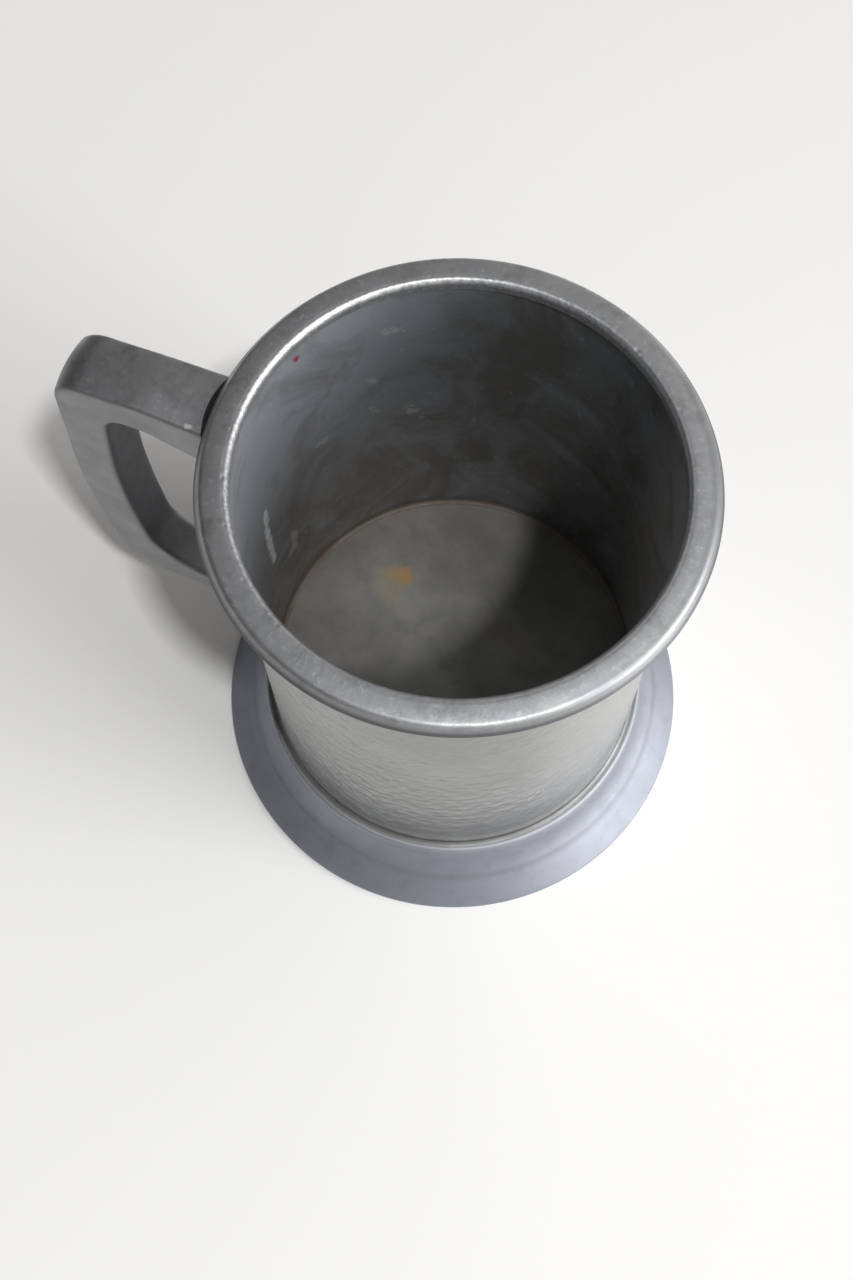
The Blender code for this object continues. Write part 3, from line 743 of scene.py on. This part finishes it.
# %% [markdown]
# The wall was planished with a hammer: every blow leaves a shallow round hollow, and neighbouring
# hollows meet in soft ridges. Marks are laid in staggered courses with a little disorder. Each
# vertex of the wall is pushed in by how near it lies to the middle of the nearest mark.

# %% The hammered wall
WALL_STEPS = 500
WALL_SPACING = 0.0007
INNER_SPACING = WALL_SPACING * 3.5
MARK_PITCH = 0.0034
MARK_DEPTH = 0.00022
MARK_NARROWNESS = 1.9                   # more makes the ridges wider
MARK_DISORDER = 0.2                     # as a share of the pitch
COURSE_STEP = 0.87                      # height of a course, as a share of the pitch
PLAIN_BAND = 0.0045                     # the marks fade out over the foot within this height
GHOST_DEPTH = 0.00004                   # the blows show faintly on the inside too


def unrolled(place):
    """A place on the wall as (length round the wall, height)."""
    return math.atan2(place.y, place.x - AXIS_X) * DRUM_TOP_RADIUS, place.z


random.seed(7)
marks = []
course_height = MARK_PITCH * COURSE_STEP
around = 2 * math.pi * DRUM_TOP_RADIUS
count = round(around / MARK_PITCH)
height = DRUM_BOTTOM
course = 0
while height < DRUM_TOP + MARK_PITCH:
    for i in range(-2, count + 2):
        along = (i + 0.5 * (course % 2)) * around / count - around / 2
        marks.append((along + random.uniform(-MARK_DISORDER, MARK_DISORDER) * MARK_PITCH,
                      height + random.uniform(-MARK_DISORDER, MARK_DISORDER) * MARK_PITCH))
    height += course_height
    course += 1
mark_depths = [random.uniform(0.65, 1.0) for _ in marks]
mark_tree = kdtree.KDTree(len(marks))
for number, (along, up) in enumerate(marks):
    mark_tree.insert((along, up, 0), number)
mark_tree.balance()


def mark_share(place):
    """Depth of the hollow at a place: soft between two marks, deepest in the middle of one."""
    along, up = unrolled(place)
    near = mark_tree.find_n((along, up, 0), 3)
    share = max(mark_depths[n] - (distance / MARK_PITCH) ** 2 * MARK_NARROWNESS for _, n, distance in near)
    fade = (place.z - FOOT_TOP) / PLAIN_BAND
    return max(0.0, share) * min(1.0, max(0.0, fade))


def outside_share(place):
    return mark_share(place) if radius_of(place) > BORE_TEST_RADIUS else 0


def inside_share(place):
    return mark_share(place) if radius_of(place) < BORE_TEST_RADIUS else 0


top_radius, foot_radius = drum_radius(DRUM_TOP), drum_radius(DRUM_BOTTOM)
wall_section = fill_in([(top_radius, DRUM_TOP), (foot_radius, DRUM_BOTTOM)], WALL_SPACING)
wall_section += fill_in([(foot_radius - WALL, DRUM_BOTTOM), (top_radius - WALL, DRUM_TOP)], INNER_SPACING)
wall = turn_section("hammered_wall", wall_section, WALL_STEPS)
push(wall, "marks", -MARK_DEPTH, outside_share)
push(wall, "ghosts", GHOST_DEPTH, inside_share)
finish_piece(wall, "drum_wall", wall_finish, smooth_angle=50)
print(len(marks), "hammer marks")

# %% [markdown]
# The floor is a disc with a shallow dish. It lies on the foot's collar and is soldered to the wall
# all round. The fillets of solder are hollow, as melted solder draws up into a corner.

# %% The floor and its solder
FLOOR_STEPS = 288
FLOOR_SPACING = 0.0018
FLOOR_DISH = 0.0004
DISH_STEPS = 24
FLOOR_SEAT_WIDTH = 0.0050
DENT_DEPTH = 0.00012
DENT_SIZE = 0.014
FILLET_STEPS = 360
floor_bottom = floor_low.z + FLOOR_DISH
floor_edge = drum_radius(FLOOR_TOP) - WALL - SEAT_GAP
dish = floor_edge - FLOOR_SEAT_WIDTH
floor_section = [(dish * i / DISH_STEPS, FLOOR_TOP - FLOOR_DISH * (1 - (i / DISH_STEPS) ** 2))
                 for i in range(DISH_STEPS + 1)]
floor_section += [(floor_edge - FLOOR_DISH, FLOOR_TOP), (floor_edge, FLOOR_TOP - FLOOR_DISH)]
floor_section += [(floor_edge, floor_bottom), (dish, floor_bottom)]
floor_section += [(dish / 2, floor_bottom - FLOOR_DISH), (0, floor_bottom - FLOOR_DISH)]
floor = turn_section("floor_plate", fill_in(floor_section, FLOOR_SPACING), FLOOR_STEPS)
push(floor, "dents", DENT_DEPTH, lambda place: 1 if place.z > FLOOR_TOP - FLOOR_DISH * 1.25 else 0, "Z",
     cloud_texture("dents", DENT_SIZE))
finish_piece(floor, "floor_disc", floor_finish, smooth_angle=30)


def solder_fillet(name, node, corner, along_wall, along_floor, material):
    """A ring of solder in a corner, hollow on its open side."""
    radius, z = corner
    hollow = arc((radius + along_floor, z + along_wall), (abs(along_floor), along_wall),
                 270, 180 if along_floor > 0 else 360, steps=8)
    ring = turn_section(name, [corner] + hollow, FILLET_STEPS)
    finish_piece(ring, node, material, smooth_angle=50)


solder_fillet("floor_fillet", "floor_solder", (floor_edge + SEAT_GAP * 0.9, FLOOR_TOP + SEAT_GAP / 6),
              along_wall=0.0013, along_floor=-0.0013, material=stained_finish)
solder_fillet("foot_fillet", "foot_solder", (drum_radius(FOOT_TOP) + SEAT_GAP / 10, FOOT_TOP + SEAT_GAP / 6),
              along_wall=0.0010, along_floor=0.0012, material=solder_finish)

# %% [markdown]
# The foot is one turned casting. From the bead at its top it falls in a hollow flare to a turned
# line, and from there in a straight flare to the thin edge on the table. Inside, the drum stands in
# a slot, and a collar carries the floor.

# %% The foot
FOOT_STEPS = 432
FOOT_SPACING = 0.0020
FOOT_EDGE_ROUND = 0.00018
FLARE_STEPS = 14
SOCKET_DEPTH = 0.0026
LEDGE_WIDTH = 0.0036
LEDGE_THICKNESS = 0.0022
LIP_FLAT = 0.0010
BEAD_RADIUS = 0.0008
FLARE_START = 0.0022
FLARE_DROP = 0.0024
FLARE_HOLLOW = 0.0004
CREASE_SPREAD = 0.0063
CREASE_HEIGHT = 0.0076
CREASE_DEPTH = 0.00022
CREASE_FALL = CREASE_DEPTH * 1.6
FOOT_WALL = 0.0019
BASE_EDGE = 0.0012
BASE_CHAMFER = 0.0004
TREAD_WIDTH = 0.0042

socket = DRUM_FOOT_RADIUS + SEAT_GAP
lip = socket + LIP_FLAT
foot_section = [(socket, FOOT_TOP)]
foot_section += arc((lip, FOOT_TOP - BEAD_RADIUS), (BEAD_RADIUS, BEAD_RADIUS), 90, -45, steps=12)
flare = (socket + FLARE_START, FOOT_TOP - FLARE_DROP)
crease = DRUM_FOOT_RADIUS + CREASE_SPREAD
for i in range(FLARE_STEPS + 1):
    share = i / FLARE_STEPS
    hollow = FLARE_HOLLOW * 4 * share * (1 - share)
    foot_section.append((flare[0] + (crease - flare[0]) * share - hollow,
                         flare[1] + (CREASE_HEIGHT - flare[1]) * share - hollow))
foot_section.append((crease + CREASE_DEPTH, CREASE_HEIGHT - CREASE_FALL))
tread = FOOT_RADIUS - BASE_CHAMFER
ledge_top = FOOT_TOP - SOCKET_DEPTH
ledge = DRUM_FOOT_RADIUS - LEDGE_WIDTH
collar = drum_radius(foot_high.z) - WALL - SEAT_GAP
foot_section += [(FOOT_RADIUS, BASE_EDGE), (FOOT_RADIUS, BASE_CHAMFER), (tread, 0), (tread - TREAD_WIDTH, 0)]
foot_section += [(crease - FOOT_WALL, CREASE_HEIGHT - FOOT_WALL), (socket, ledge_top - LEDGE_THICKNESS)]
foot_section += [(ledge, ledge_top - LEDGE_THICKNESS), (ledge, foot_high.z), (collar, foot_high.z)]
foot_section += [(collar, ledge_top), (socket, ledge_top)]
foot = turn_section("foot_casting", fill_in(foot_section, FOOT_SPACING), FOOT_STEPS)
apply_modifier(foot, "BEVEL", width=FOOT_EDGE_ROUND, segments=3, limit_method="ANGLE",
               angle_limit=math.radians(28))
finish_piece(foot, "foot_ring", foot_finish, smooth_angle=60)

# %% [markdown]
# The handle is a cast strap with a square shoulder. Its side view lies between an outer and an
# inner path, each a chain of straight runs with rounded corners. The two paths are extruded point by
# point, bridged into a ribbon, and the ribbon is extruded to the strap's width. Then the long edges
# are rounded, the strap is narrowed towards its tail, its back is crowned, and both ends are coped to
# the drum. Under the rim the arm is notched, so that the applied rim clears it.

# %% The handle's side view
HANDLE_REACH = 0.0430
SHOULDER_SET_IN = 0.0046
HEEL_SET_IN = 0.0028
ARM_DROP = 0.0012
ARM_RISE = 0.0010
ROOT_SINK = 0.0001                      # the roots are soldered into the wall's hollows
NOTCH_REACH = 0.0069
NOTCH_DEPTH = 0.0030
NOTCH_ROUND = 0.0240                    # radius of the file that cut the notch
ROOT_FLARE = 0.0012
BROW_DISTANCE = 0.0190
ARM_ROOT_DEPTH = 0.0156
ARM_DEPTH = 0.0101
SHOULDER_DEPTH = 0.0084
GRIP_DEPTH = 0.0093
GRIP_END_DEPTH = 0.0099
TAIL_DEPTH = 0.0062
TAIL_RISE = 0.0108
OUTER_SHOULDER_RADIUS = 0.0076
INNER_SHOULDER_RADIUS = 0.0066
OUTER_HEEL_RADIUS = 0.0150
INNER_HEEL_RADIUS = 0.0138
BROW_RADIUS = 0.0400
INNER_BROW_RADIUS = 0.0180
GRIP_BOW_RADIUS = 0.1900
ARM_WIDTH = 0.0137
TAIL_WIDTH = 0.0112
OUTER_EDGE_RADIUS = 0.0012              # the back's corners are crisp
INNER_EDGE_RADIUS = 0.0017              # and those at the fingers are worn round
CROWN_HEIGHT = 0.00057
SKIN_DEPTH = 0.00022
SKIN_GRAIN = 0.014
STRAP_SPACING = 0.0013
ACROSS_CUTS, LONG_CUTS = 9, 4           # more vertices across the strap, and on its long edges
LONG_EDGE = 0.0025
STRAP_BLANK = 0.0152                    # width of the blank before it is narrowed

ARM_TOP = RIM_SKIRT_BOTTOM - ARM_DROP
TAIL_BOTTOM = FOOT_TOP + TAIL_RISE
GRIP_RADIUS = DRUM_TOP_RADIUS + HANDLE_REACH


def fillet_path(corners, radii, steps=14):
    """A path from the first corner to the last, rounded by one radius at each corner between."""
    path = [Vector(corners[0])]
    for before, here, after, radius in zip(corners, corners[1:], corners[2:], radii):
        corner = Vector(here)
        back = (Vector(before) - corner).normalized()
        ahead = (Vector(after) - corner).normalized()
        half = back.angle(ahead) / 2
        middle = corner + (back + ahead).normalized() * radius / math.sin(half)
        spoke = corner + back * radius / math.tan(half) - middle
        turn = spoke.angle_signed(corner + ahead * radius / math.tan(half) - middle)
        path += [middle + Matrix.Rotation(-turn * i / steps, 2) @ spoke for i in range(steps + 1)]
    path.append(Vector(corners[-1]))
    return path


root = DRUM_TOP_RADIUS - 2 * WALL
brow = drum_radius(ARM_TOP) + BROW_DISTANCE
shoulder = GRIP_RADIUS - SHOULDER_SET_IN
heel = GRIP_RADIUS - HEEL_SET_IN
grip_middle = (ARM_TOP + TAIL_BOTTOM) / 2
tail_top = TAIL_BOTTOM + TAIL_DEPTH
outer_path = fillet_path(
    [(root, ARM_TOP), (brow, ARM_TOP + ARM_RISE), (shoulder, ARM_TOP), (GRIP_RADIUS, grip_middle),
     (heel, TAIL_BOTTOM), (root, TAIL_BOTTOM)],
    [BROW_RADIUS, OUTER_SHOULDER_RADIUS, GRIP_BOW_RADIUS, OUTER_HEEL_RADIUS])
inner_path = fillet_path(
    [(root, ARM_TOP - ARM_ROOT_DEPTH), (brow, ARM_TOP + ARM_RISE - ARM_DEPTH),
     (shoulder - GRIP_END_DEPTH, ARM_TOP - SHOULDER_DEPTH), (GRIP_RADIUS - GRIP_DEPTH, grip_middle),
     (heel - GRIP_END_DEPTH, tail_top), (root, tail_top)],
    [INNER_BROW_RADIUS, INNER_SHOULDER_RADIUS, GRIP_BOW_RADIUS, INNER_HEEL_RADIUS])


def in_step(first, second, spacing):
    """Split two paths at the same shares, so that no step of either is longer than spacing."""
    paths = ([first[0]], [second[0]])
    for a, b, c, d in zip(first, first[1:], second, second[1:]):
        parts = max(1, math.ceil(max((b - a).length, (d - c).length) / spacing))
        for i in range(1, parts + 1):
            paths[0].append(a.lerp(b, i / parts))
            paths[1].append(c.lerp(d, i / parts))
    return paths


outer_path, inner_path = in_step(outer_path, inner_path, STRAP_SPACING)
path_tree = kdtree.KDTree(len(outer_path) + len(inner_path))
for number, point in enumerate(outer_path + inner_path):
    path_tree.insert((point[0], point[1], 0), number)
path_tree.balance()


def is_outer(reach, z):
    """True if a place in the side view lies nearer to the outer path than to the inner one."""
    return path_tree.find((reach, z, 0))[1] < len(outer_path)


print(len(outer_path), "points along the strap")

# %% The handle's blank
def handle_place(point):
    """A side-view point (reach, height) in the middle plane of the handle."""
    return Vector((AXIS_X - point[0], -STRAP_BLANK / 2, point[1]))


def strap_corner(outer):
    """A test for the edges along the strap's outer or inner corners, but not for those of its ends."""
    def test(edge):
        first, last = (vertex.co for vertex in edge.verts)
        if abs(first.y - last.y) > 1e-6 or max(abs(first.x), abs(last.x)) < 1e-6:
            return False
        middle = (first + last) / 2 + handle.location
        return edge.calc_face_angle(0) > math.radians(60) and is_outer(AXIS_X - middle.x, middle.z) == outer
    return test


handle = start_point("strap_handle", handle_place(outer_path[0]))
extrude_along([handle_place(p) for p in outer_path])
bpy.ops.mesh.primitive_plane_add(size=0.001, location=handle_place(inner_path[0]))
bpy.ops.mesh.merge(type="CENTER")
extrude_along([handle_place(p) for p in inner_path])
bpy.ops.mesh.select_mode(type="EDGE")
bpy.ops.mesh.select_all(action="SELECT")
bpy.ops.mesh.bridge_edge_loops()
bpy.ops.mesh.select_all(action="SELECT")
bpy.ops.mesh.extrude_region_move(TRANSFORM_OT_translate={"value": (0, STRAP_BLANK, 0)})
bpy.ops.mesh.select_all(action="SELECT")
bpy.ops.mesh.normals_make_consistent(inside=False)
for outer, edge_radius in ((True, OUTER_EDGE_RADIUS), (False, INNER_EDGE_RADIUS)):
    print(pick(handle, "EDGE", strap_corner(outer)), "edges rounded by %.1f mm" % (edge_radius * 1000))
    bpy.ops.mesh.bevel(offset=edge_radius, segments=5, affect="EDGES", clamp_overlap=True)
pick(handle, "EDGE", lambda e: abs(e.verts[0].co.y - e.verts[1].co.y) > 0.6 * STRAP_BLANK)
bpy.ops.mesh.subdivide(number_cuts=ACROSS_CUTS)
pick(handle, "EDGE", lambda e: e.verts[0].co.y == e.verts[1].co.y and e.calc_length() > LONG_EDGE)
bpy.ops.mesh.subdivide(number_cuts=LONG_CUTS)
bpy.ops.object.mode_set(mode="OBJECT")
print(len(handle.data.polygons), "faces in the blank")

# %% The handle's taper and crown
def handle_width(reach, z):
    """Width of the strap at a place: even taper from arm to tail, and a flare at the arm's root."""
    width = TAIL_WIDTH + (ARM_WIDTH - TAIL_WIDTH) * (z - TAIL_BOTTOM) / (ARM_TOP - TAIL_BOTTOM)
    nearness = 1 - (reach - DRUM_TOP_RADIUS) / BROW_DISTANCE
    if z > grip_middle and nearness > 0:
        width += ROOT_FLARE * min(1, nearness)
    return width


def narrowing(place):
    """How far a point of the blank has to move towards the middle plane."""
    width = handle_width(AXIS_X - place.x, place.z)
    return abs(place.y) * (1 - width / STRAP_BLANK)


NARROW_MOST = 0.0025
push(handle, "left_taper", NARROW_MOST, lambda p: narrowing(p) / NARROW_MOST if p.y < 0 else 0, "Y")
push(handle, "right_taper", -NARROW_MOST, lambda p: narrowing(p) / NARROW_MOST if p.y > 0 else 0, "Y")


def crown_share(place):
    """The swell of the strap's back: full in its middle, none at its edges or on its inside."""
    if not is_outer(AXIS_X - place.x, place.z):
        return 0
    flat = handle_width(AXIS_X - place.x, place.z) / 2 - OUTER_EDGE_RADIUS * 0.8
    return 1 - (place.y / flat) ** 2


push(handle, "crown", CROWN_HEIGHT, crown_share)
push(handle, "cast_skin", SKIN_DEPTH, lambda p: 1.0, texture=cloud_texture("cast_skin", SKIN_GRAIN))

# %% Cope the handle to the drum and notch it under the rim
COPE_SIDES, NOTCH_SIDES = 288, 144
NOTCH_LOW, NOTCH_HIGH = NOTCH_ROUND * 0.97, NOTCH_ROUND * 1.08


def cut_with(piece, name, low, high, low_radius, high_radius, middle_x, sides):
    """Take a cone-shaped bite out of a piece."""
    bpy.ops.object.select_all(action="DESELECT")
    bpy.ops.mesh.primitive_cone_add(vertices=sides, radius1=low_radius, radius2=high_radius,
                                    depth=high - low, location=(middle_x, 0, (low + high) / 2))
    cutter = bpy.context.object
    cutter.name = name
    apply_modifier(piece, "BOOLEAN", object=cutter, operation="DIFFERENCE", solver="EXACT")
    bpy.data.objects.remove(cutter)


cope_low, cope_high = TAIL_BOTTOM - 0.005, ARM_TOP + 0.001
cut_with(handle, "cope_cutter", cope_low, cope_high, drum_radius(cope_low) - ROOT_SINK,
         drum_radius(cope_high) - ROOT_SINK, AXIS_X, COPE_SIDES)
notch_middle = AXIS_X - (DRUM_TOP_RADIUS + NOTCH_REACH - NOTCH_ROUND)
cut_with(handle, "notch_cutter", ARM_TOP - NOTCH_DEPTH, ARM_TOP + 0.01, NOTCH_LOW, NOTCH_HIGH,
         notch_middle, NOTCH_SIDES)
finish_piece(handle, "handle", handle_finish, smooth_angle=40)

for node in ("handle_solder_upper", "handle_solder_lower"):
    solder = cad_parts[node]
    solder.data.materials.clear()
    solder.data.materials.append(solder_finish)
